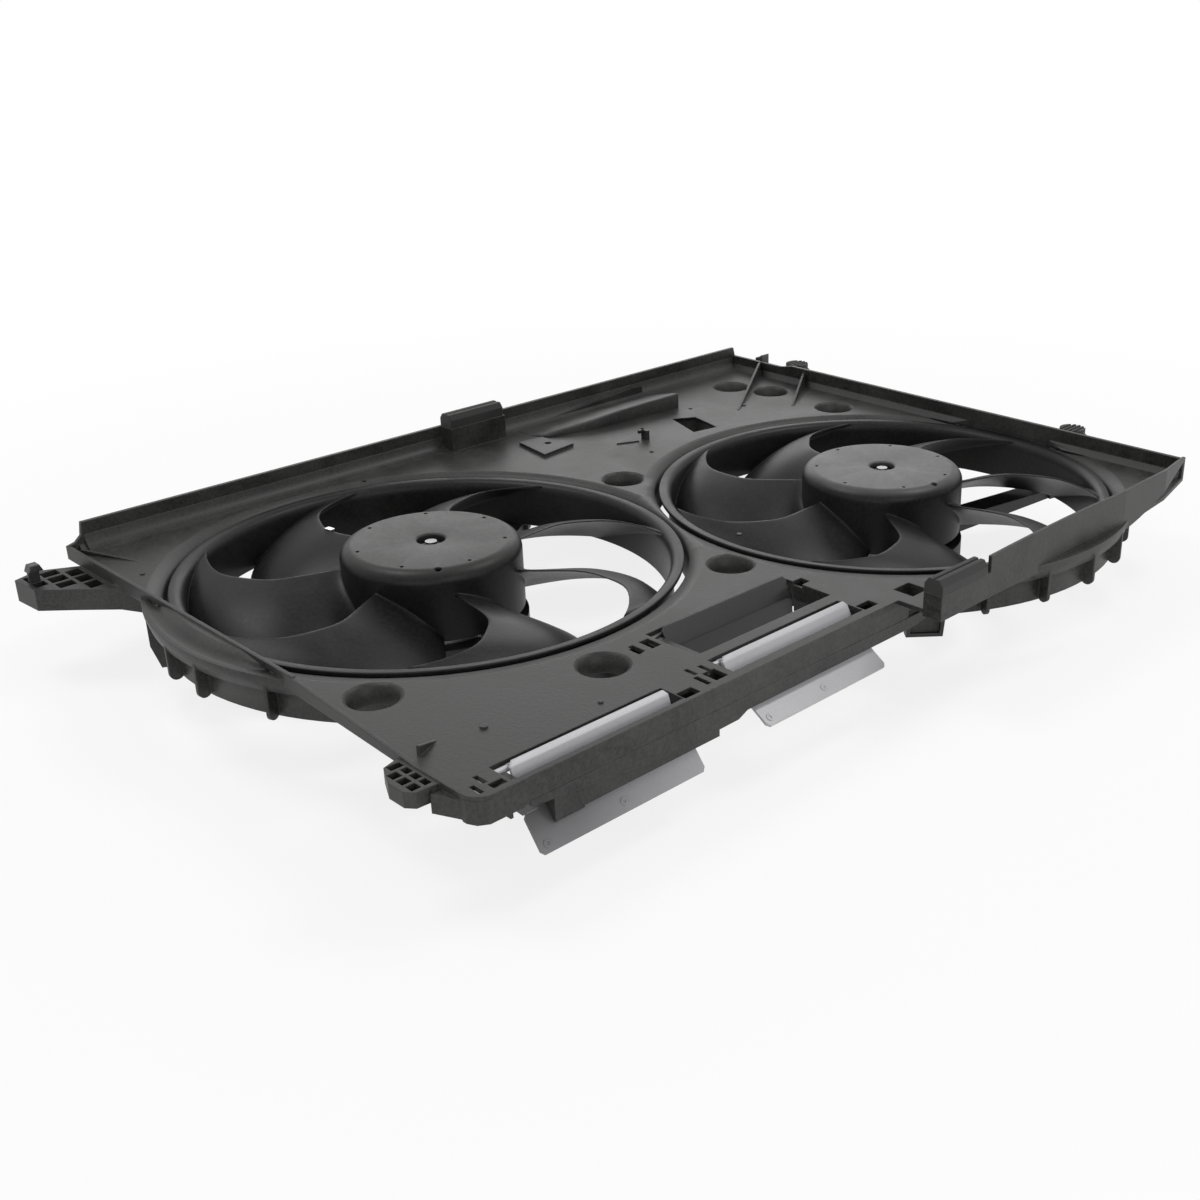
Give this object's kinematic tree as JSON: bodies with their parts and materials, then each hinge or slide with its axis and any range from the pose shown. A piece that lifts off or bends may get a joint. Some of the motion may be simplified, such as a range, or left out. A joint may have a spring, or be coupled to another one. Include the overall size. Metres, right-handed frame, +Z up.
{
  "type": "radiator fan shroud",
  "caption": "Twin radiator fan shroud: a moulded panel carrying two banded axial impellers on their motors and hinged ram-air flaps.",
  "frame": {"origin": "centre of the flat back of the left fan's motor, on the surface that the part stands on", "axes": "+X along the panel's long side, +Y towards the wall with the rear pad, +Z up through the plate towards the radiator, along both fan axes"},
  "size_m": [0.737, 0.5091, 0.102],
  "materials": {
    "shroud_plastic": "fine moulded texture",
    "impeller_plastic": "fine moulded texture, slight sheen",
    "flap_plastic": "satin",
    "zinc_steel": "zinc plated",
    "dark_steel": "blackened",
    "bright_steel": "ground",
    "core_iron": "laminated",
    "copper": "turned copper",
    "magnet_ferrite": "sintered",
    "card_laminate": "pressed laminate",
    "carbon": "pressed carbon",
    "pad_rubber": "matte",
    "clip_plastic": "satin"
  },
  "bodies": {
    "shroud": {"shroud_panel": "shroud_plastic", "motor_support_left": "shroud_plastic", "motor_can_left": "zinc_steel", "motor_end_plate_left": "zinc_steel", "motor_flange_left": "zinc_steel", "motor_screws_left": "dark_steel", "rear_bearing_left": "bright_steel", "front_bearing_left": "bright_steel", "magnets_left": "magnet_ferrite", "brush_card_left": "card_laminate", "brushes_left": "carbon", "motor_support_right": "shroud_plastic", "motor_can_right": "zinc_steel", "motor_end_plate_right": "zinc_steel", "motor_flange_right": "zinc_steel", "motor_screws_right": "dark_steel", "rear_bearing_right": "bright_steel", "front_bearing_right": "bright_steel", "magnets_right": "magnet_ferrite", "brush_card_right": "card_laminate", "brushes_right": "carbon", "front_pad": "pad_rubber", "rear_pad": "pad_rubber", "mounting_pad_rear": "pad_rubber", "mounting_pad_front": "pad_rubber", "edge_clip": "clip_plastic", "cable_clip": "clip_plastic"},
    "fan_left": {"impeller_left": "impeller_plastic", "hub_nut_left": "bright_steel", "motor_shaft_left": "bright_steel", "armature_left": "core_iron", "commutator_left": "copper"},
    "fan_right": {"impeller_right": "impeller_plastic", "hub_nut_right": "bright_steel", "motor_shaft_right": "bright_steel", "armature_right": "core_iron", "commutator_right": "copper"},
    "flap_left": {"ram_air_flap_left": "flap_plastic"},
    "flap_right": {"ram_air_flap_right": "flap_plastic"},
    "flap_rear": {"ram_air_flap_rear": "flap_plastic"}
  },
  "joints": [
    {"name": "fan_left_spin", "type": "hinge", "parent": "shroud", "child": "fan_left", "pos_m": [0, 0, 0.07], "axis": [0, 0, 1], "continuous": true},
    {"name": "fan_right_spin", "type": "hinge", "parent": "shroud", "child": "fan_right", "pos_m": [0.3275, -0.127, 0.07], "axis": [0, 0, 1], "continuous": true},
    {"name": "flap_left_hinge", "type": "hinge", "parent": "shroud", "child": "flap_left", "pos_m": [-0.087, -0.2521, 0.0685], "axis": [1, 0, 0], "range_deg": [-3, 50]},
    {"name": "flap_right_hinge", "type": "hinge", "parent": "shroud", "child": "flap_right", "pos_m": [0.078, -0.2466, 0.0685], "axis": [1, 0, 0], "range_deg": [-5, 70]},
    {"name": "flap_rear_hinge", "type": "hinge", "parent": "shroud", "child": "flap_rear", "pos_m": [0.082, -0.1946, 0.0685], "axis": [1, 0, 0], "range_deg": [-40, 30]}
  ]
}
